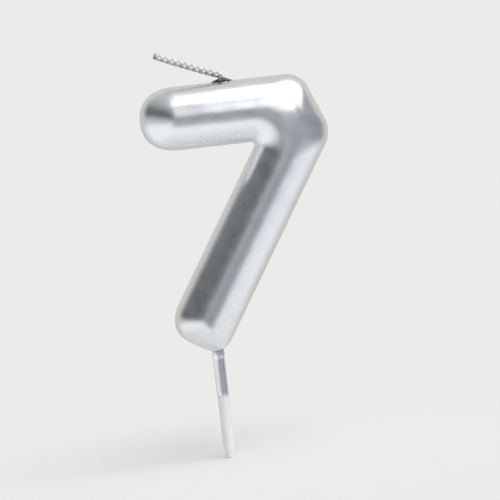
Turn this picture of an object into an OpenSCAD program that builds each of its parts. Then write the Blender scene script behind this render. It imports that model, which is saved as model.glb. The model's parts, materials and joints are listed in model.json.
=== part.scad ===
// Figure seven birthday candle
//
// A wax seven cast round in section, dipped in silver lacquer, with a braided cotton wick that
// bends just above the bar and a plastic pick that goes into the cake.
//
// Frame: the origin is on the pick's axis, at the foot's lowest point, level with the cake.
// +Z runs up the pick. The seven stands in the XZ plane and its front faces -Y.

/* [Numeral] */
// Height of the seven, from the foot's lowest point to the bar's top
numeral_h = 65.3; // [62:0.1:70]
// Thickness of the bar and of the stem
stroke = 15.2; // [14:0.1:16]
// How far the bar's end reaches to the left of the pick's axis
bar_reach = 12.3; // [10:0.1:18]
// Where the bar's top edge turns down, to the right of the pick's axis
corner_x = 27.2; // [26:0.1:29]
// Slope of the cut-off corner below the horizontal
corner_slope = 67.5; // [60:0.5:75]
// Lean of the stem from upright
stem_lean = 32; // [30:0.5:33]
// Rounding of the bar's end
bar_round = 5.5; // [3:0.1:6.5]
// Rounding of the stem's foot
foot_round = 3; // [2.5:0.1:5]
// Thickness of the lacquer coat on the wax
coat_t = 0.15; // [0.1:0.01:0.3]

/* [Wick] */
// Radius of the braided wick
wick_r = 0.85; // [0.6:0.05:0.95]
// Distance of the wick from the pick's axis
wick_x = 8.3; // [6:0.1:12]
// How deep the wick is set in the bar
wick_depth = 12; // [8:0.5:12.5]
// Height of the wick's bend above the bar
bend_h = 1.3; // [1.3:0.1:3]
// Length of the free wick, from its bend to its cut end
wick_free = 16.7; // [12:0.1:20]
// Rise of the bent wick above the horizontal
wick_rise = 23; // [20:1:60]
// Radius of the rough wax seal round the wick
seal_r = 2.75; // [2:0.05:3.2]
// Height of the wax seal above the bar
seal_h = 0.42; // [0.3:0.02:0.42]

/* [Pick] */
// Radius of the pick below the foot
pick_r = 1.35; // [1:0.05:1.6]
// Length of the pick below the foot, with its point
pick_len = 25.6; // [15:0.1:40]
// Length of the pick's tapered point
point_len = 3; // [1:0.1:5]
// Radius of the pick's blunt end
point_r = 0.65; // [0.3:0.05:0.9]
// How far the pick's shank is set in the wax
shank_len = 16; // [8:0.5:16]
// How much thinner the shank is than the pick, in radius
shank_step = 0.25; // [0.2:0.01:0.35]
// Radial gap between the shank and its socket
shank_gap = 0.05; // [0.02:0.01:0.09]
// Length of the silver lacquer that runs down the pick
spray_len = 10.5; // [5:0.1:12]
// Thickness of the lacquer on the pick
spray_t = 0.16; // [0.16:0.01:0.18]
// How far the bead of lacquer stands out from the pick
bead_out = 0.2; // [0.19:0.01:0.22]
// Height of the bead of lacquer
bead_h = 0.6; // [0.4:0.1:1]

/* [Hidden] */
$fn = 96;

// Points and directions are [x, z] pairs in the seven's own plane.
arm_r = stroke / 2;
stem_up = [sin(stem_lean), cos(stem_lean)];
stem_right = [cos(stem_lean), -sin(stem_lean)];
corner_down = [cos(corner_slope), -sin(corner_slope)];
corner_in = [-sin(corner_slope), -cos(corner_slope)];
bar_right = [1, 0];

// The stem's foot is rounded, and the pick's axis runs through the rounding's lowest point.
foot_end = [0, foot_round] - (arm_r - foot_round) * stem_right - foot_round * stem_up;
bar_end = [-bar_reach, numeral_h - arm_r];
corner_top = [corner_x, numeral_h];
corner_start = corner_top + arm_r * corner_in;

function cross2(a, b) = a[0] * b[1] - a[1] * b[0];
// Where the line through p along u meets the line through q along v
function meet(p, u, q, v) = p + u * cross2(q - p, v) / cross2(u, v);

// The two mitres of the cut-off corner halve the turns between the axes and meet at the hub.
bar_corner = meet(bar_end, bar_right, corner_start, corner_down);
corner_stem = meet(corner_start, corner_down, foot_end, stem_up);
bar_mitre = bar_right - corner_down;
corner_mitre = corner_down + stem_up;
mitre_hub = meet(bar_corner, bar_mitre, corner_stem, corner_mitre);
toward_bar_corner = bar_mitre / norm(bar_mitre);
toward_corner_stem = corner_mitre / norm(corner_mitre);

bar_len = 2 * numeral_h;
reach = 3 * numeral_h;
bend = [wick_x, 0, numeral_h + bend_h];
knuckle_gap = 0.1;
tip_start = wick_r - 0.05;
shank_r = pick_r - shank_step;
socket_extra = 0.3;
shank_chamfer = 0.3;
seat_gap = 0.02;
cut_margin = 1;

// A round arm from the point end, along the direction along, with its end rounded over
module arm(end, along, r, rounding) {
    translate([end[0], 0, end[1]])
        rotate([0, atan2(along[0], along[1]), 0])
            rotate_extrude() {
                translate([0, rounding]) square([r, bar_len]);
                square([r - rounding, rounding]);
                translate([r - rounding, rounding]) intersection() {
                    circle(rounding);
                    translate([0, -rounding]) square(rounding);
                }
            }
}

// A block over the polygon, which is drawn in the seven's own plane
module block(points) {
    rotate([90, 0, 0])
        linear_extrude(4 * stroke, center = true)
            polygon(points);
}

// Everything between two directions out of the hub where the mitres meet
module wedge(first, second) {
    middle = first + second;
    block([
        mitre_hub,
        mitre_hub + reach * first,
        mitre_hub + reach * middle / norm(middle),
        mitre_hub + reach * second
    ]);
}

// Everything on the away side of the mitre that runs through the hub along a direction
module side(along, away) {
    block([
        mitre_hub + reach * along,
        mitre_hub - reach * along,
        mitre_hub - reach * along + reach * away,
        mitre_hub + reach * along + reach * away
    ]);
}

// The seven, inset from its outer surface. The cut-off corner is mitred between the bar and the
// stem, and those two run into each other, which makes the inside corner.
module seven(inset) {
    r = arm_r - inset;
    intersection() {
        arm(bar_end + inset * bar_right, bar_right, r, bar_round - inset);
        side(toward_bar_corner, -bar_right);
    }
    intersection() {
        arm(corner_start - numeral_h * corner_down, corner_down, r, foot_round);
        wedge(toward_corner_stem, toward_bar_corner);
    }
    intersection() {
        arm(foot_end + inset * stem_up, stem_up, r, foot_round - inset);
        side(toward_corner_stem, -stem_up);
    }
}

// The hole that the wick fills
module wick_hole() {
    translate([wick_x, 0, numeral_h - wick_depth])
        cylinder(h = wick_depth + cut_margin, r = wick_r);
}

// The blind socket in the foot that the pick's shank goes into
module pick_socket() {
    translate([0, 0, -cut_margin])
        cylinder(h = shank_len + socket_extra + cut_margin, r = shank_r + shank_gap);
}

module wax_body() {
    color("ivory")
        difference() {
            seven(coat_t);
            wick_hole();
            pick_socket();
        }
}

module silver_film() {
    color("silver")
        difference() {
            seven(0);
            seven(coat_t);
            wick_hole();
            pick_socket();
        }
}

// The wick's set part and its stub, with a round head for the bend
module wick_root() {
    color("gainsboro")
        translate([wick_x, 0, numeral_h - wick_depth])
            rotate_extrude() {
                square([wick_r, wick_depth + bend_h]);
                translate([0, wick_depth + bend_h]) intersection() {
                    circle(wick_r);
                    square(wick_r);
                }
            }
}

// The free wick, hollowed where it turns on the root's round head
module wick_tip() {
    color("darkgray")
        translate(bend)
            difference() {
                rotate([0, wick_rise - 90, 0])
                    translate([0, 0, tip_start])
                        cylinder(h = wick_free - tip_start, r = wick_r);
                sphere(wick_r + knuckle_gap);
            }
}

// A low mound of wax round the wick, lying on the bar
module wick_seal() {
    color("dimgray")
        difference() {
            translate([wick_x, 0, numeral_h])
                rotate_extrude()
                    polygon([
                        [0, -cut_margin],
                        [seal_r, -cut_margin],
                        [seal_r, 0],
                        [seal_r / 2, seal_h],
                        [0, seal_h]
                    ]);
            arm(bar_end, bar_right, arm_r, bar_round);
            wick_hole();
        }
}

module pick() {
    color("white")
        rotate_extrude()
            polygon([
                [0, -pick_len],
                [point_r, -pick_len],
                [pick_r, point_len - pick_len],
                [pick_r, 0],
                [shank_r, 0],
                [shank_r, shank_len - shank_chamfer],
                [shank_r - shank_chamfer, shank_len],
                [0, shank_len]
            ]);
}

// The lacquer on the pick, with a bead where it gathered under the foot
module pick_film() {
    color("silver")
        rotate_extrude() {
            translate([pick_r, -spray_len]) square([spray_t, spray_len - seat_gap]);
            translate([pick_r, -bead_h - seat_gap]) square([bead_out, bead_h]);
        }
}

wax_body();
silver_film();
wick_root();
wick_tip();
wick_seal();
pick();
pick_film();
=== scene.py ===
"""Looks of the figure seven birthday candle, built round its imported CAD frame.

Shapes are worked out in millimetres in the CAD frame and turned into metres when a mesh is made.
"""

import json
import math

import bpy
import numpy as np
from mathutils import Matrix, Vector


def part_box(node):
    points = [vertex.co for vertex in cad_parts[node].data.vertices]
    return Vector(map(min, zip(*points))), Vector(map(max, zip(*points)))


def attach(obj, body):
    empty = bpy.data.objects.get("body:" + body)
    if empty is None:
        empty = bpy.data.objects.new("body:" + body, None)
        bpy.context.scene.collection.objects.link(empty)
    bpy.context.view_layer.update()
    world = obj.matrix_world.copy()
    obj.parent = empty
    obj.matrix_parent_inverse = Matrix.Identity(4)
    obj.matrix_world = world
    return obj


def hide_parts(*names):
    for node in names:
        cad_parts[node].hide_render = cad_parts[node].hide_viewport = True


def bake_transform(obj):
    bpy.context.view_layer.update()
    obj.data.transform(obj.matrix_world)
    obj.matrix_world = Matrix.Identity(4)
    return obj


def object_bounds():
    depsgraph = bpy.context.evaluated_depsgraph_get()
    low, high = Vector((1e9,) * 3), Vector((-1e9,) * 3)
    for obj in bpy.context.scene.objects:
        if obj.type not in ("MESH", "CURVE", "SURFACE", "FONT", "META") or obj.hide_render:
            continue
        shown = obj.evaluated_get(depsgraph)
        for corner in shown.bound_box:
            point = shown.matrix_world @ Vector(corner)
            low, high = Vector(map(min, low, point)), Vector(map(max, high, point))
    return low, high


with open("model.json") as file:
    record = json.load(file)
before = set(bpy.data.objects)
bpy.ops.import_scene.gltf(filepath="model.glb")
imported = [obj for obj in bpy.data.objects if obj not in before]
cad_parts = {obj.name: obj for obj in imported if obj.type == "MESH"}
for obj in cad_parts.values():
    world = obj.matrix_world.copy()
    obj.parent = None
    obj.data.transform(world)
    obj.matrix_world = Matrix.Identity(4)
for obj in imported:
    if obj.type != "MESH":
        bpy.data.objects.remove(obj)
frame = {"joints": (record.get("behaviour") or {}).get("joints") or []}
cad_box = [list(corner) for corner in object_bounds()]

MM = 0.001
SEED = 7


def box_mm(node):
    """Lowest and highest corner of a CAD node, in millimetres."""
    low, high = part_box(node)
    return np.array(low) / MM, np.array(high) / MM


# ---------------------------------------------------------------- sizes of the seven

film_low, film_high = box_mm("silver_film")
ARM_R = (film_high[1] - film_low[1]) / 2
TOP = film_high[2]
BAR_END = film_low[0]
COAT_T = TOP - box_mm("wax_body")[1][2]

STEM_LEAN = math.radians(32)
CORNER_SLOPE = math.radians(67.5)
CORNER_X = 27.2
FOOT_ROUND = 3.0
INSIDE_ROUND = 0.8

# How far the softened edges of the cut-off corner spread to both sides of their mitres, at the
# outline and for each millimetre further in
CORNER_SOFT, CORNER_SOFTER = 3.5, 0.5
SHOULDER_SOFT, SHOULDER_SOFTER = 3.0, 0.6
# How long the bar's rounded end is for its radius
BAR_TAPER = 1.2
# How square the ends are: 2 is a half circle or ellipse, and more is squarer
BAR_SQUARE = 2.35
FOOT_SQUARE = 3.0
# How much squarer the foot is on its right than in its middle
FOOT_SQUARE_SKEW = 0.6

STEM_UP = np.array([math.sin(STEM_LEAN), math.cos(STEM_LEAN)])
STEM_RIGHT = np.array([math.cos(STEM_LEAN), -math.sin(STEM_LEAN)])
CORNER_OUT = np.array([math.sin(CORNER_SLOPE), math.cos(CORNER_SLOPE)])
FOOT = np.array([0, FOOT_ROUND]) - (ARM_R - FOOT_ROUND) * STEM_RIGHT - FOOT_ROUND * STEM_UP
BAR_UNDER = TOP - 2 * ARM_R

# The centre of the inside corner's small rounding lies in the open, off both edges.
inside_z = BAR_UNDER - INSIDE_ROUND
inside_across = -ARM_R - INSIDE_ROUND
inside_x = FOOT[0] + (inside_across - (inside_z - FOOT[1]) * STEM_RIGHT[1]) / STEM_RIGHT[0]
INSIDE = np.array([inside_x, inside_z])


# ---------------------------------------------------------------- the seven's surface

def smooth_min(a, b, soft, softer):
    """The smaller of two depths, rounded over where they are close, and more so further in."""
    least = np.minimum(a, b)
    spread = soft + softer * np.clip(least, 0, ARM_R)
    near = np.maximum(spread - np.abs(a - b), 0) / spread
    return least - near * near * spread / 4


def ray_distance(x, z, start, along):
    """Distance from a straight edge that starts at a point and runs off one way."""
    dx = x - start[0]
    dz = z - start[1]
    run = np.maximum(dx * along[0] + dz * along[1], 0)
    return np.hypot(dx - run * along[0], dz - run * along[1])


def round_end(run, across, square):
    """How far in from the outline of an arm's rounded end a point is."""
    run = np.maximum(run, 0)
    return ARM_R - (run ** square + np.abs(across) ** square) ** (1 / square)


def depth_in(x, z):
    """How far in from the outline of the seven a point of its plane is."""
    top = TOP - z
    corner = (CORNER_X - x) * CORNER_OUT[0] + (TOP - z) * CORNER_OUT[1]
    across = (x - FOOT[0]) * STEM_RIGHT[0] + (z - FOOT[1]) * STEM_RIGHT[1]
    along = (x - FOOT[0]) * STEM_UP[0] + (z - FOOT[1]) * STEM_UP[1]
    under = z - BAR_UNDER
    stem_left = ARM_R + across

    to_bar = ray_distance(x, z, INSIDE, (-1, 0))
    to_stem = ray_distance(x, z, INSIDE, -STEM_UP)
    inside = np.minimum(to_bar, to_stem) - INSIDE_ROUND
    in_the_open = (under < -INSIDE_ROUND) & (stem_left < -INSIDE_ROUND)
    inside = np.where(in_the_open, np.maximum(under, stem_left), inside)

    outer = smooth_min(top, corner, CORNER_SOFT, CORNER_SOFTER)
    outer = smooth_min(outer, ARM_R - across, SHOULDER_SOFT, SHOULDER_SOFTER)
    depth = np.minimum(outer, inside)

    bar_run = (BAR_END - x) / BAR_TAPER + ARM_R
    bar_end = round_end(bar_run, z - TOP + ARM_R, BAR_SQUARE)
    depth = np.where((bar_run > 0) & (z > TOP - 3 * ARM_R), bar_end, depth)
    foot_run = ARM_R - along
    foot_square = FOOT_SQUARE + FOOT_SQUARE_SKEW * np.clip(across / ARM_R, -1, 1)
    foot_end = round_end(foot_run, across, foot_square)
    return np.where((foot_run > 0) & (z < TOP - 3 * ARM_R), foot_end, depth)


WAVES = 10
RIPPLE = 0.02
SEAM_H = 0.05
SEAM_W = 0.35
wave_rng = np.random.default_rng(SEED)
wave_ways = wave_rng.normal(0, 0.42, (WAVES, 3))
wave_starts = wave_rng.uniform(0, 2 * math.pi, WAVES)


def ripple(points):
    """The slow unevenness that cast wax keeps."""
    return RIPPLE / math.sqrt(WAVES) * np.sin(points @ wave_ways.T + wave_starts).sum(axis=1)


def seven_field(points):
    """Signed distance from the seven's lacquered surface: below 0 inside."""
    depth = np.minimum(depth_in(points[:, 0], points[:, 2]), ARM_R)
    seam = SEAM_H * np.exp(-((points[:, 1] / SEAM_W) ** 2))
    return np.hypot(ARM_R - depth, points[:, 1]) - ARM_R - ripple(points) - seam


def gradient(field, points, reach=0.02):
    """Slope of a field at points, by differences over a short reach."""
    steps = np.eye(3) * reach
    return np.stack([(field(points + s) - field(points - s)) / (2 * reach) for s in steps], axis=1)


def settle(field, points, rounds):
    """Moves points straight onto the surface."""
    for _ in range(rounds):
        slope = gradient(field, points)
        points = points - (field(points) / (slope ** 2).sum(axis=1))[:, None] * slope
    return points


def surface_net(field, low, high, step):
    """A closed mesh of quads over a field's surface, with a point in each cell that it crosses."""
    axes = [np.arange(low[i], high[i] + step, step) for i in range(3)]
    grid = np.stack(np.meshgrid(*axes, indexing="ij"), axis=-1)
    inside = (field(grid.reshape(-1, 3)) < 0).reshape(grid.shape[:3])
    shape = tuple(n - 1 for n in inside.shape)
    corners = sum(
        inside[i:i + shape[0], j:j + shape[1], k:k + shape[2]].astype(int)
        for i, j, k in np.ndindex(2, 2, 2)
    )
    crossed = (corners > 0) & (corners < 8)
    number = np.full(shape, -1)
    number[crossed] = np.arange(crossed.sum())
    points = grid[:-1, :-1, :-1][crossed] + step / 2
    quads = []
    for axis in range(3):
        second, third = (axis + 1) % 3, (axis + 2) % 3
        count = inside.shape[axis]
        lower = inside.take(range(count - 1), axis)
        upper = inside.take(range(1, count), axis)
        at = np.argwhere(lower != upper)
        leaving = lower[tuple(at.T)]
        ring = []
        for back_second, back_third in ((1, 1), (0, 1), (0, 0), (1, 0)):
            cell = at.copy()
            cell[:, second] -= back_second
            cell[:, third] -= back_third
            ring.append(number[tuple(cell.T)])
        quad = np.stack(ring, axis=1)
        quad[~leaving] = quad[~leaving][:, ::-1]
        quads.append(quad)
    return points, np.concatenate(quads)


def relax(field, points, quads, rounds, share=0.6):
    """Evens out the mesh along the surface."""
    ends = np.concatenate([quads[:, [i, (i + 1) % 4]] for i in range(4)])
    count = np.bincount(ends[:, 0], minlength=len(points))[:, None]
    for _ in range(rounds):
        total = np.stack(
            [np.bincount(ends[:, 0], points[ends[:, 1], i], len(points)) for i in range(3)],
            axis=1,
        )
        points = settle(field, points + share * (total / count - points), 2)
    return points


# ---------------------------------------------------------------- making meshes

def make_piece(name, points, faces, paint, smooth_below=math.radians(40)):
    """A mesh object from points in millimetres."""
    mesh = bpy.data.meshes.new(name)
    mesh.from_pydata((np.asarray(points) * MM).tolist(), [], [list(map(int, f)) for f in faces])
    mesh.update()
    mesh.validate()
    mesh.shade_smooth()
    mesh.set_sharp_from_angle(angle=smooth_below)
    mesh.materials.append(paint)
    piece = bpy.data.objects.new(name, mesh)
    bpy.context.scene.collection.objects.link(piece)
    return piece


def set_values(piece, name, values):
    """Stores one number for each point, for the piece's material to read."""
    attribute = piece.data.attributes.new(name, "FLOAT", "POINT")
    attribute.data.foreach_set("value", np.asarray(values, np.float32))


def ring_faces(rings, sides, close_ends=True):
    """Quads between rings of points, with a fan of one face over each end."""
    faces = []
    for r in range(rings - 1):
        for s in range(sides):
            t = (s + 1) % sides
            faces.append((r * sides + s, r * sides + t, (r + 1) * sides + t, (r + 1) * sides + s))
    if close_ends:
        faces.append(tuple(range(sides))[::-1])
        faces.append(tuple(range((rings - 1) * sides, rings * sides)))
    return faces


def turned(profile, sides):
    """Points of a turned shape: rings up +Z from (radius, height) pairs."""
    turn = np.arange(sides) * 2 * math.pi / sides
    rings = [
        np.stack([r * np.cos(turn), r * np.sin(turn), np.full(sides, float(z))], axis=1)
        for r, z in profile
    ]
    return np.concatenate(rings), ring_faces(len(profile), sides)


def cut_away(piece, cutter):
    """Cuts one closed mesh out of another and drops the cutter."""
    tool = piece.modifiers.new("cut", "BOOLEAN")
    tool.operation = "DIFFERENCE"
    tool.solver = "EXACT"
    tool.object = cutter
    bpy.context.view_layer.update()
    result = bpy.data.meshes.new_from_object(
        piece.evaluated_get(bpy.context.evaluated_depsgraph_get())
    )
    piece.modifiers.clear()
    piece.data = result
    bpy.data.objects.remove(cutter)


# ---------------------------------------------------------------- materials

def add_node(tree, kind, **inputs):
    """A shader node with some of its inputs set."""
    node = tree.nodes.new(kind)
    for name, value in inputs.items():
        node.inputs[name.replace("_", " ")].default_value = value
    return node


def object_noise(tree, scale, detail=3.0, roughness=0.5):
    """Noise in the object's own coordinates, with scale in lumps to the metre."""
    place = add_node(tree, "ShaderNodeTexCoord")
    noise = add_node(tree, "ShaderNodeTexNoise", Scale=scale, Detail=detail, Roughness=roughness)
    tree.links.new(place.outputs["Object"], noise.inputs["Vector"])
    return noise.outputs["Fac"]


def spread_to(tree, value, low, high, from_low=0.3, from_high=0.7):
    """Maps a noise's usual span onto low to high."""
    span = add_node(tree, "ShaderNodeMapRange")
    span.inputs["From Min"].default_value = from_low
    span.inputs["From Max"].default_value = from_high
    span.inputs["To Min"].default_value = low
    span.inputs["To Max"].default_value = high
    tree.links.new(value, span.inputs["Value"])
    return span.outputs["Result"]


def mix_colours(tree, amount, first, second):
    """Mixes two colours, or outputs, by an amount from 0 to 1."""
    mix = tree.nodes.new("ShaderNodeMix")
    mix.data_type = "RGBA"
    tree.links.new(amount, mix.inputs["Factor"])
    for socket, colour in (("A", first), ("B", second)):
        slot = next(s for s in mix.inputs if s.name == socket and s.type == "RGBA")
        if isinstance(colour, bpy.types.NodeSocket):
            tree.links.new(colour, slot)
        else:
            slot.default_value = (*colour, 1)
    return next(s for s in mix.outputs if s.type == "RGBA")


def add_bump(tree, shader, layers):
    """Stacks bumps of (height output, height in mm, strength) on a shader."""
    last = None
    for height, size, strength in layers:
        bump = add_node(tree, "ShaderNodeBump", Strength=strength, Distance=size * MM)
        tree.links.new(height, bump.inputs["Height"])
        if last is not None:
            tree.links.new(last.outputs["Normal"], bump.inputs["Normal"])
        last = bump
    tree.links.new(last.outputs["Normal"], shader.inputs["Normal"])


def new_material(name, **inputs):
    """A material with its node tree and its principled shader."""
    material = bpy.data.materials.new(name)
    material.use_nodes = True
    shader = material.node_tree.nodes["Principled BSDF"]
    for socket, value in inputs.items():
        shader.inputs[socket.replace("_", " ")].default_value = value
    return material, material.node_tree, shader


def silver_lacquer():
    """Satin varnish full of aluminium flakes, laid over wax."""
    material, tree, shader = new_material("silver_lacquer", Metallic=1.0)
    tone = object_noise(tree, 90, 4)
    tree.links.new(
        mix_colours(tree, spread_to(tree, tone, 0, 1), (0.80, 0.815, 0.835), (0.84, 0.85, 0.865)),
        shader.inputs["Base Color"],
    )
    patches = object_noise(tree, 260, 5, 0.6)
    tree.links.new(spread_to(tree, patches, 0.25, 0.31), shader.inputs["Roughness"])
    add_bump(tree, shader, [
        (object_noise(tree, 420, 2), 0.05, 0.03),
        (object_noise(tree, 5200, 2), 0.01, 0.06),
    ])
    return material


def paraffin():
    """The plain wax under the coat, seen only in the socket."""
    material, tree, shader = new_material(
        "paraffin_wax", Roughness=0.45, Subsurface_Weight=0.4, Subsurface_Scale=0.002
    )
    tone = object_noise(tree, 400, 4)
    tree.links.new(
        mix_colours(tree, tone, (0.86, 0.83, 0.75), (0.93, 0.91, 0.85)),
        shader.inputs["Base Color"],
    )
    add_bump(tree, shader, [(object_noise(tree, 1500, 4), 0.05, 0.3)])
    return material


def wick_cotton():
    """Braided cotton stiffened with wax and sprayed silver, with painted shade darkening the
    grooves between the bundles and the underside, and a darkened cut end.
    """
    material, tree, shader = new_material("wick_cotton", Metallic=0.35)
    painted_shade_and_cut_end = add_node(tree, "ShaderNodeAttribute")
    painted_shade_and_cut_end.attribute_name = "painted_shade_and_cut_end"
    fibres = object_noise(tree, 6000, 3)
    tone = spread_to(tree, fibres, 0, 1)
    sprayed = mix_colours(tree, tone, (0.66, 0.67, 0.69), (0.90, 0.91, 0.92))
    # painted shade: the attribute darkens the silver to near black in the grooves and on the
    # underside, and also at the cut end
    tree.links.new(
        mix_colours(tree, painted_shade_and_cut_end.outputs["Fac"], sprayed, (0.05, 0.05, 0.055)),
        shader.inputs["Base Color"],
    )
    tree.links.new(spread_to(tree, fibres, 0.30, 0.48), shader.inputs["Roughness"])
    add_bump(tree, shader, [(fibres, 0.04, 0.5)])
    return material


def seal_crust():
    """Crumbly wax with lacquer over it, sooty black close to the wick and silver further out."""
    material, tree, shader = new_material("seal_crust", Metallic=0.7)
    soot = add_node(tree, "ShaderNodeAttribute")
    soot.attribute_name = "soot"
    crumbs = object_noise(tree, 2200, 5, 0.65)
    tone = spread_to(tree, crumbs, 0, 1)
    silver = mix_colours(tree, tone, (0.42, 0.43, 0.45), (0.80, 0.81, 0.83))
    black = mix_colours(tree, tone, (0.008, 0.008, 0.01), (0.16, 0.16, 0.17))
    tree.links.new(
        mix_colours(tree, soot.outputs["Fac"], silver, black), shader.inputs["Base Color"]
    )
    tree.links.new(spread_to(tree, crumbs, 0.32, 0.6), shader.inputs["Roughness"])
    add_bump(tree, shader, [(crumbs, 0.08, 0.6)])
    return material


def pick_plastic():
    """Milky polystyrene, faintly see-through, with fine drag marks from its mould."""
    material, tree, shader = new_material(
        "pick_plastic", Subsurface_Weight=0.5, Subsurface_Scale=0.0015, Coat_Weight=0.15
    )
    tone = object_noise(tree, 300, 3)
    tree.links.new(
        mix_colours(tree, tone, (0.90, 0.905, 0.90), (0.96, 0.96, 0.955)),
        shader.inputs["Base Color"],
    )
    scuffs = object_noise(tree, 900, 4)
    tree.links.new(spread_to(tree, scuffs, 0.26, 0.4), shader.inputs["Roughness"])
    add_bump(tree, shader, [(object_noise(tree, 2400, 2), 0.02, 0.2)])
    return material


SILVER = silver_lacquer()
WAX = paraffin()
WICK = wick_cotton()
CRUST = seal_crust()
PLASTIC = pick_plastic()


# ---------------------------------------------------------------- the camera

VIEW_RISE = math.radians(4.5)
VIEW_ROLL = math.radians(6.5)
LENS = 150.0
SENSOR = 36.0
# Share of the picture's height that the candle takes
FILL = 0.86


def make_camera():
    """Looks at the front, a little from above, with the candle leaning left as it was pictured."""
    low, high = (np.array(corner) for corner in cad_box)
    centre = (low + high) / 2
    lean = np.array([math.sin(VIEW_ROLL), 0, math.cos(VIEW_ROLL)])
    tall = abs((high - low) @ lean)
    distance = tall / FILL / 2 / (SENSOR / 2 / LENS)
    away = Vector((0, -math.cos(VIEW_RISE), math.sin(VIEW_RISE)))
    data = bpy.data.cameras.new("camera")
    data.lens = LENS
    data.sensor_width = SENSOR
    data.clip_start = 0.01
    camera = bpy.data.objects.new("camera", data)
    bpy.context.scene.collection.objects.link(camera)
    facing = away.to_track_quat("Z", "Y").to_matrix().to_4x4()
    camera.matrix_world = (
        Matrix.Translation(Vector(centre) + away * distance)
        @ facing
        @ Matrix.Rotation(-VIEW_ROLL, 4, "Z")
    )
    bpy.context.scene.camera = camera


make_camera()


# ---------------------------------------------------------------- coat and wax

NET_STEP = 0.32
SETTLE_ROUNDS = 5
RELAX_ROUNDS = 8
SOCKET_R = 1.15
SOCKET_DEPTH = 16.3
SOCKET_SIDES = 48


def socket_cutter(radius):
    """A plug with the shape of the blind socket for the pick's shank."""
    points, faces = turned([(radius, -3.0), (radius, SOCKET_DEPTH)], SOCKET_SIDES)
    return make_piece("cutter", points, faces, WAX)


def make_seven():
    """The lacquer coat, a thin shell, and the wax inside it, both with the pick's socket."""
    margin = 2.75 * NET_STEP  # keeps the grid's planes off the seven's front and back
    low = film_low - margin
    high = film_high + margin
    points, quads = surface_net(seven_field, low, high, NET_STEP)
    points = settle(seven_field, points, SETTLE_ROUNDS)
    points = relax(seven_field, points, quads, RELAX_ROUNDS)
    slope = gradient(seven_field, points)
    outward = slope / np.linalg.norm(slope, axis=1)[:, None]

    shell = np.concatenate([points, points - COAT_T * outward])
    faces = np.concatenate([quads, quads[:, ::-1] + len(points)])
    coat = make_piece("silver_coat", shell, faces, SILVER)
    cut_away(coat, socket_cutter(SOCKET_R + 0.05))
    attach(coat, "numeral")
    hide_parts("silver_film")

    gap = 0.01
    core = make_piece("wax_core", points - (COAT_T + gap) * outward, quads, WAX)
    cut_away(core, socket_cutter(SOCKET_R))
    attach(core, "numeral")
    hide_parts("wax_body")


make_seven()


# ---------------------------------------------------------------- the wick

bend_joint = next(j for j in frame["joints"] if j["name"] == "wick_bend")
BEND = np.array(bend_joint["pos_m"]) / MM
tip_low, tip_high = box_mm("wick_tip")
WICK_R = (tip_high[1] - tip_low[1]) / 2
WICK_RISE = math.radians(23)
WICK_LEFT = np.array([-math.cos(WICK_RISE), 0, math.sin(WICK_RISE)])
WICK_FREE = 16.7
WICK_SUNK = 1.4
BEND_R = 0.9
STRANDS = 3
STRAND_R = 0.46
STRAND_SIDES = 16
PLAIT_WIDE = 0.39
PLAIT_THICK = 0.22
PLAIT_PITCH = 4.8
RING_STEP = 0.12
# How near two bundles lie where painted shade darkens the groove between them, and how much painted
# shade darkens the underside
SHADE_REACH = 0.14
UNDERSIDE_SHADE = 0.5
# Length of the darkened cut end, and the number of stray hairs on it
CUT_LEN = 0.45
HAIRS = 30


def wick_route():
    """Evenly spaced points up out of the bar, round the sharp bend and out to the cut end."""
    start = np.array([BEND[0], 0, TOP - WICK_SUNK])
    knee = BEND + np.array([0.12, 0, 0.1])
    before = knee - np.array([0.1, 0, BEND_R])
    after = knee + WICK_LEFT * BEND_R
    end = BEND + WICK_LEFT * WICK_FREE
    sag = np.array([0, 0, -0.12])
    turn = np.linspace(0, 1, 24)[:, None]
    rise = start + (before - start) * np.linspace(0, 1, 20)[:-1, None]
    knuckle = (1 - turn) ** 2 * before + 2 * turn * (1 - turn) * knee + turn ** 2 * after
    run = np.linspace(0, 1, 120)[1:, None]
    out = after + (end - after) * run + sag * 4 * run * (1 - run)
    line = np.concatenate([rise, knuckle, out])
    along = np.concatenate([[0], np.cumsum(np.linalg.norm(np.diff(line, axis=0), axis=1))])
    at = np.arange(0, along[-1], RING_STEP)
    return np.stack([np.interp(at, along, line[:, i]) for i in range(3)], axis=1), at


def sweep(line, radius, sides):
    """A tube of points and faces along a line, with a radius for each ring."""
    way = np.gradient(line, axis=0)
    way /= np.linalg.norm(way, axis=1)[:, None]
    side = np.cross(way, [0.0, 1.0, 0.0])
    side /= np.maximum(np.linalg.norm(side, axis=1), 1e-6)[:, None]
    other = np.cross(way, side)
    turn = np.arange(sides) * 2 * math.pi / sides
    radius = np.broadcast_to(radius, len(line))
    points = (
        line[:, None]
        + radius[:, None, None] * np.cos(turn)[None, :, None] * side[:, None]
        + radius[:, None, None] * np.sin(turn)[None, :, None] * other[:, None]
    )
    return points.reshape(-1, 3), ring_faces(len(line), sides)


def gather(parts):
    """Joins (points, faces, values) parts into one set."""
    points, faces, values, offset = [], [], [], 0
    for part_points, part_faces, part_values in parts:
        points.append(part_points)
        faces += [tuple(i + offset for i in face) for face in part_faces]
        values.append(part_values)
        offset += len(part_points)
    return np.concatenate(points), faces, np.concatenate(values)


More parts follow.
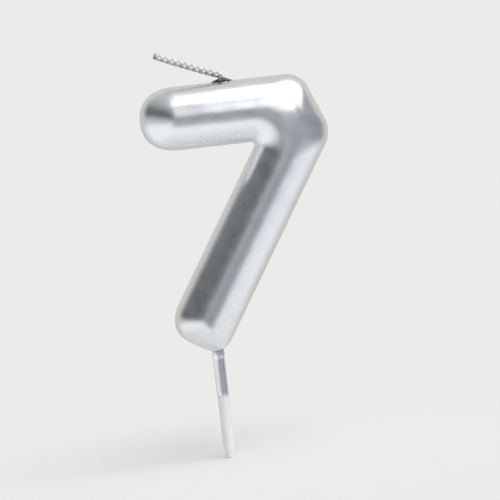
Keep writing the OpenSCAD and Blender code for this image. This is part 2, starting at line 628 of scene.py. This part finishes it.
def make_wick():
    """Three bundles of yarn plaited flat, with a frayed cut end."""
    line, at = wick_route()
    way = np.gradient(line, axis=0)
    way /= np.linalg.norm(way, axis=1)[:, None]
    side = np.cross(way, [0.0, 1.0, 0.0])
    other = np.cross(way, side)
    end_fade = np.clip((at - at[-1] + CUT_LEN) / CUT_LEN, 0, 1)

    paths = []
    for strand in range(STRANDS):
        turn = 2 * math.pi * (at / PLAIT_PITCH + strand / STRANDS)
        paths.append(
            line
            + PLAIT_WIDE * np.sin(turn)[:, None] * side
            + PLAIT_THICK * np.sin(2 * turn)[:, None] * other
        )

    parts = []
    for strand, path in enumerate(paths):
        points, faces = sweep(path, STRAND_R, STRAND_SIDES)
        others = np.concatenate([p for i, p in enumerate(paths) if i != strand])
        # painted shade: darkness for the grooves where the bundles lie close, more on the lower
        # side, and for the whole underside
        clear = np.array([np.linalg.norm(others - p, axis=1).min() for p in points]) - STRAND_R
        ring = np.repeat(np.arange(len(path)), STRAND_SIDES)
        lower = ((points - line[ring]) * side[ring]).sum(axis=1) / WICK_R
        dark = np.clip(1 - clear / SHADE_REACH, 0, 1) * np.clip(0.4 + 0.7 * lower, 0.05, 0.9)
        dark += UNDERSIDE_SHADE * np.clip(lower, 0, 1)
        dark = np.maximum(dark, 0.85 * end_fade[ring]).clip(0, 1)
        parts.append((points, faces, dark))

    rng = np.random.default_rng(SEED + 1)
    for _ in range(HAIRS):
        root = paths[rng.integers(STRANDS)][-6]
        turn, out = rng.uniform(0, 2 * math.pi), STRAND_R * math.sqrt(rng.uniform(0, 0.8))
        root = root + out * (math.cos(turn) * side[-6] + math.sin(turn) * other[-6])
        stray = WICK_LEFT + rng.normal(0, 0.25, 3)
        reach = rng.uniform(0.62, 0.95)
        hair = root + np.linspace(0, reach, 5)[:, None] * stray / np.linalg.norm(stray)
        points, faces = sweep(hair, np.linspace(0.05, 0.025, 5), 5)
        parts.append((points, faces, np.full(len(points), rng.uniform(0.35, 0.9))))

    points, faces, dark = gather(parts)
    wick = make_piece("wick_braid", points, faces, WICK, math.radians(60))
    set_values(wick, "painted_shade_and_cut_end", dark)
    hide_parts("wick_root", "wick_tip")
    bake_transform(wick)


make_wick()


# ---------------------------------------------------------------- the seal round the wick

SEAL_R = (box_mm("wick_seal")[1][0] - box_mm("wick_seal")[0][0]) / 2
SEAL_H = 0.42


def lumps(count, spread, seed):
    """A repeatable bumpy function of two coordinates, about -1 to 1."""
    rng = np.random.default_rng(seed)
    ways = rng.normal(0, spread, (count, 2))
    starts = rng.uniform(0, 2 * math.pi, count)
    return lambda a, b: sum(
        np.sin(w[0] * a + w[1] * b + s) for w, s in zip(ways, starts)
    ) / math.sqrt(count / 2)


def bar_height(y):
    """Height of the bar's top over a place off its middle line."""
    return TOP - ARM_R + np.sqrt(np.maximum(ARM_R ** 2 - y ** 2, 0))


# The crust is black out to the first distance from the wick's axis, and silver past the second
SOOT_FROM, SOOT_TO = 2.0, 2.8
SOOT_RAGGED = 0.25
CRUMBS = 60
NEAR_CRUMBS = 38


def crumb(size, seed):
    """A small lump with uneven lobes, about its own centre."""
    rings, sides = 7, 10
    level = np.linspace(-math.pi / 2, math.pi / 2, rings + 2)[1:-1]
    turn = np.arange(sides) * 2 * math.pi / sides
    ball = np.concatenate([
        np.stack([
            math.cos(v) * np.cos(turn), math.cos(v) * np.sin(turn), np.full(sides, math.sin(v))
        ], axis=1)
        for v in level
    ])
    lobe = lumps(5, 2.2, seed)
    ball *= (1 + 0.2 * lobe(ball[:, 0] + ball[:, 2], ball[:, 1] - ball[:, 2]))[:, None]
    return ball * size * [1, 1, 0.85], ring_faces(rings, sides)


def make_seal():
    """A ragged crust that the wick comes up through, with black crumbs round the wick."""
    rough = lumps(14, 3.2, SEED + 2)
    edge = lumps(8, 2.0, SEED + 3)
    sides, rings = 72, 14
    turn = np.arange(sides) * 2 * math.pi / sides
    rim = SEAL_R * (0.84 + 0.13 * edge(np.cos(turn) * 1.6, np.sin(turn) * 1.6))
    shape = []
    for ring in range(rings):
        share = 1 - ring / rings
        x = rim * share * np.cos(turn)
        y = rim * share * np.sin(turn)
        mound = SEAL_H * (1 - share ** 2) ** 0.7
        bump = 0.12 * rough(x, y) * (1 - share ** 6)
        lift = np.maximum(mound + bump, 0.02) if ring else np.full(sides, -0.1)
        shape.append(np.stack([BEND[0] + x, y, bar_height(y) + lift], axis=1))
    base = shape[0].copy()
    base[:, 2] -= 0.3
    points = np.concatenate([base, *shape])

    def soot(out):
        """How black the crust is at a distance from the wick."""
        return np.clip((SOOT_TO - out) / (SOOT_TO - SOOT_FROM), 0, 1)

    out = np.hypot(points[:, 0] - BEND[0], points[:, 1])
    ragged = out + SOOT_RAGGED * rough(points[:, 0], points[:, 1])
    parts = [(points, ring_faces(rings + 1, sides), soot(ragged))]

    rng = np.random.default_rng(SEED + 4)
    for number in range(CRUMBS):
        near = number < NEAR_CRUMBS
        turn = rng.normal(-math.pi / 2, 0.9) if near else rng.uniform(0, 2 * math.pi)
        out = rng.uniform(1.0, 2.3) if near else rng.uniform(1.9, SEAL_R * 1.04)
        size = rng.uniform(0.20, 0.42) if near else rng.uniform(0.10, 0.22)
        lift = rng.uniform(0.2, 1.9) if near else 0.3 * size
        x, y = out * math.cos(turn), out * math.sin(turn)
        if x < 0.4 and abs(y) < PLAIT_THICK + STRAND_R + size + 0.1:
            size, lift = min(size, 0.16), 0.02
        ball, faces = crumb(size, int(rng.integers(1000)))
        sit = bar_height(y) + SEAL_H * max(0, 1 - (out / SEAL_R) ** 2) ** 0.7 * (0.6 + lift)
        black = soot(out) * rng.uniform(0.7, 1)
        parts.append((ball + [BEND[0] + x, y, sit], faces, np.full(len(ball), black)))

    points, faces, black = gather(parts)
    seal = make_piece("wick_crust", points, faces, CRUST, math.radians(50))
    set_values(seal, "soot", black)
    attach(seal, "numeral")
    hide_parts("wick_seal")


make_seal()


# ---------------------------------------------------------------- the pick

PICK_R = 1.35
PICK_TIP = box_mm("pick")[0][2]
SHANK_TOP = box_mm("pick")[1][2]
SHANK_R = 1.1
POINT_LEN = 3.0
POINT_R = 0.65
SPRAY_END = box_mm("pick_film")[0][2]
SPRAY_R = 1.45
BEAD_R = 1.60
# The mould line: how far it stands out for the pick's radius, and its width on the same scale
LINE_H = 0.025
LINE_W = 0.07
PICK_SIDES = 64


def make_pick():
    """The moulded stick: blunt point, faint mould lines down two sides, stepped shank."""
    profile = [
        (0.30, PICK_TIP),
        (0.52, PICK_TIP + 0.05),
        (POINT_R, PICK_TIP + 0.25),
        (POINT_R + 0.12, PICK_TIP + 0.7),
        (PICK_R - 0.10, PICK_TIP + POINT_LEN - 0.5),
        (PICK_R - 0.02, PICK_TIP + POINT_LEN - 0.1),
        (PICK_R, PICK_TIP + POINT_LEN + 0.3),
    ]
    profile += [(PICK_R, z) for z in np.linspace(PICK_TIP + POINT_LEN + 1.5, -0.4, 18)]
    profile += [
        (PICK_R - 0.03, -0.08),
        (SHANK_R + 0.05, -0.01),
        (SHANK_R, 0.04),
        (SHANK_R, 0.4),
    ]
    profile += [(SHANK_R, z) for z in np.linspace(2, SHANK_TOP - 0.4, 8)]
    profile += [
        (SHANK_R - 0.08, SHANK_TOP - 0.15),
        (SHANK_R - 0.3, SHANK_TOP),
    ]
    points, faces = turned(profile, PICK_SIDES)
    around = np.arctan2(points[:, 1], points[:, 0])
    line = np.exp(-((np.sin(around) / LINE_W) ** 2))
    below = points[:, 2] < -0.5
    grow = 1 + np.where(below, LINE_H * line, 0)
    points[:, :2] *= grow[:, None]
    pick = make_piece("pick_stick", points, faces, PLASTIC)
    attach(pick, "pick")
    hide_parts("pick")


def foot_surface(x, y):
    """Height of the foot's underside over each point, found by halving."""
    low = np.full(len(x), -1.5)
    high = np.full(len(x), 2.5)
    for _ in range(24):
        middle = (low + high) / 2
        inside = seven_field(np.stack([x, y, middle], axis=1)) < 0
        high = np.where(inside, middle, high)
        low = np.where(inside, low, middle)
    return high


def make_overspray():
    """The silver sleeve on the pick, ragged at its lower edge, and the bead under the foot."""
    turn = np.arange(PICK_SIDES) * 2 * math.pi / PICK_SIDES
    ragged = lumps(7, 2.4, SEED + 5)(np.cos(turn), np.sin(turn))
    wave = lumps(5, 1.4, SEED + 6)(np.cos(turn), np.sin(turn))
    bead = BEAD_R + 0.03 * wave
    foot = foot_surface(bead * np.cos(turn), bead * np.sin(turn)) - 0.03
    end = SPRAY_END + 0.10 + 0.07 * ragged
    rings = [
        (np.full(PICK_SIDES, PICK_R - 0.02), end),
        (np.full(PICK_SIDES, SPRAY_R - 0.02), end + 0.01),
        (np.full(PICK_SIDES, SPRAY_R), end + 0.10),
    ]
    rings += [
        (np.full(PICK_SIDES, SPRAY_R), np.full(PICK_SIDES, z))
        for z in np.linspace(SPRAY_END + 1, -1.4, 12)
    ]
    rings += [
        (np.full(PICK_SIDES, SPRAY_R + 0.02), np.full(PICK_SIDES, -0.95) + 0.05 * wave),
        (SPRAY_R + 0.55 * (bead - SPRAY_R), np.full(PICK_SIDES, -0.70) + 0.05 * wave),
        (bead - 0.02, np.full(PICK_SIDES, -0.45) + 0.04 * wave),
        (bead, 0.5 * foot - 0.12),
        (bead - 0.06, foot - 0.02),
        (np.full(PICK_SIDES, SHANK_R + 0.12), np.full(PICK_SIDES, 0.0)),
    ]
    points = np.concatenate([
        np.stack([r * np.cos(turn), r * np.sin(turn), z], axis=1) for r, z in rings
    ])
    faces = ring_faces(len(rings), PICK_SIDES, close_ends=False)
    last = (len(rings) - 1) * PICK_SIDES
    for s in range(PICK_SIDES):
        t = (s + 1) % PICK_SIDES
        faces.append((last + s, last + t, t, s))
    sleeve = make_piece("pick_overspray", points, faces, SILVER)
    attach(sleeve, "pick")
    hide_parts("pick_film")


make_pick()
make_overspray()


# ---------------------------------------------------------------- floor and light

BACKDROP = (0.83, 0.83, 0.82)
FLOOR_R = 0.5
FLOOR_FADE = (0.012, 0.09)


def make_floor():
    """A pale floor under the pick, which fades into the pale backdrop."""
    sides = 96
    turn = np.arange(sides) * 2 * math.pi / sides
    rim = np.stack([np.cos(turn), np.sin(turn), np.zeros(sides)], axis=1) * FLOOR_R / MM
    points = np.concatenate([np.zeros((1, 3)), rim])
    faces = [(0, 1 + i, 1 + (i + 1) % sides) for i in range(sides)]
    material, tree, shader = new_material("floor_paint", Roughness=0.9, Specular_IOR_Level=0.1)
    shader.inputs["Base Color"].default_value = (0.88, 0.88, 0.87, 1)
    place = add_node(tree, "ShaderNodeTexCoord")
    length = tree.nodes.new("ShaderNodeVectorMath")
    length.operation = "LENGTH"
    tree.links.new(place.outputs["Object"], length.inputs[0])
    fade = add_node(tree, "ShaderNodeMapRange")
    fade.interpolation_type = "SMOOTHERSTEP"
    fade.inputs["From Min"].default_value = FLOOR_FADE[0]
    fade.inputs["From Max"].default_value = FLOOR_FADE[1]
    fade.inputs["To Min"].default_value = 1
    fade.inputs["To Max"].default_value = 0
    tree.links.new(length.outputs["Value"], fade.inputs["Value"])
    tree.links.new(fade.outputs["Result"], shader.inputs["Alpha"])
    floor = make_piece("floor", points, faces, material)
    floor.location = (0, 0, (PICK_TIP - 0.05) * MM)


# Directions are (right, towards the camera, up) as the picture shows them. The room is pale
# below, dark to the left, mid grey to the right, and lighter towards the ceiling.
RIGHT, NEAR, UP = (1, 0, 0), (0, 1, 0), (0, 0, 1)
LEFT_LOW = (0.012, 0.016, 0.023)
LEFT_HIGH = (0.50, 0.52, 0.54)
RIGHT_SIDE = (0.26, 0.285, 0.315)
RIGHT_HIGH = (0.74, 0.75, 0.76)
LENS_SIDE = (0.29, 0.305, 0.32)
BEHIND = (0.68, 0.67, 0.65)
TABLE = (1.02, 1.03, 1.06)
TABLE_BEHIND = (0.60, 0.585, 0.56)


def picture_to_world(direction):
    """A direction of the picture as one of the world, with the candle's lean taken off."""
    right, near, up = direction
    c, s = math.cos(VIEW_ROLL), math.sin(VIEW_ROLL)
    return Vector((right * c + up * s, -near, up * c - right * s)).normalized()


def make_room():
    """Pale backdrop for the camera, and a studio room for the light and the reflections."""
    world = bpy.data.worlds.new("room")
    world.use_nodes = True
    bpy.context.scene.world = world
    tree = world.node_tree
    tree.nodes.clear()
    place = add_node(tree, "ShaderNodeTexCoord")

    def step(direction, start, end):
        """0 to 1 as the view turns towards a direction, by the cosine of its angle to it."""
        dot = tree.nodes.new("ShaderNodeVectorMath")
        dot.operation = "DOT_PRODUCT"
        dot.inputs[1].default_value = picture_to_world(direction)
        tree.links.new(place.outputs["Generated"], dot.inputs[0])
        edge = add_node(tree, "ShaderNodeMapRange")
        edge.interpolation_type = "SMOOTHSTEP"
        edge.inputs["From Min"].default_value = start
        edge.inputs["From Max"].default_value = end
        tree.links.new(dot.outputs["Value"], edge.inputs["Value"])
        return edge.outputs["Result"]

    left = mix_colours(tree, step(UP, 0.0, 1.0), LEFT_LOW, LEFT_HIGH)
    right = mix_colours(tree, step(UP, 0.42, 0.8), RIGHT_SIDE, RIGHT_HIGH)
    above = mix_colours(tree, step(RIGHT, -0.28, 0.02), left, right)
    above = mix_colours(tree, step(NEAR, -0.1, -0.6), above, BEHIND)
    below = mix_colours(tree, step(NEAR, 0.0, -0.8), TABLE, TABLE_BEHIND)
    room = mix_colours(tree, step((0.11, 0, 1), 0.10, -0.42), above, below)
    room = mix_colours(tree, step((0.15, 0.95, -0.25), 0.90, 0.99), room, LENS_SIDE)
    ray = tree.nodes.new("ShaderNodeLightPath")
    seen = mix_colours(tree, ray.outputs["Is Camera Ray"], room, BACKDROP)
    background = add_node(tree, "ShaderNodeBackground")
    output = tree.nodes.new("ShaderNodeOutputWorld")
    tree.links.new(seen, background.inputs["Color"])
    tree.links.new(background.outputs["Background"], output.inputs["Surface"])


def make_softbox(name, direction, width, height, radiance):
    """A rectangular light a metre off, facing the candle, with its height in line with the lens."""
    low, high = (Vector(corner) for corner in cad_box)
    toward = picture_to_world(direction)
    data = bpy.data.lights.new(name, "AREA")
    data.shape = "RECTANGLE"
    data.size = width
    data.size_y = height
    data.energy = radiance * math.pi * width * height
    light = bpy.data.objects.new(name, data)
    bpy.context.scene.collection.objects.link(light)
    across = picture_to_world(NEAR).cross(toward).normalized()
    turn = Matrix((across, toward.cross(across), toward)).transposed()
    light.matrix_world = Matrix.Translation((low + high) / 2 + toward) @ turn.to_4x4()


make_floor()
make_room()
# One softbox hangs over the candle, and two smaller ones carry its light on down to the lens.
make_softbox("overhead_softbox", (0.34, 0.33, 0.88), 1.06, 0.90, 1.9)
make_softbox("middle_softbox", (0.215, 0.815, 0.538), 0.48, 0.46, 1.7)
make_softbox("lower_softbox", (0.045, 0.955, 0.293), 0.22, 0.30, 1.3)

bpy.context.scene.view_settings.view_transform = "Standard"
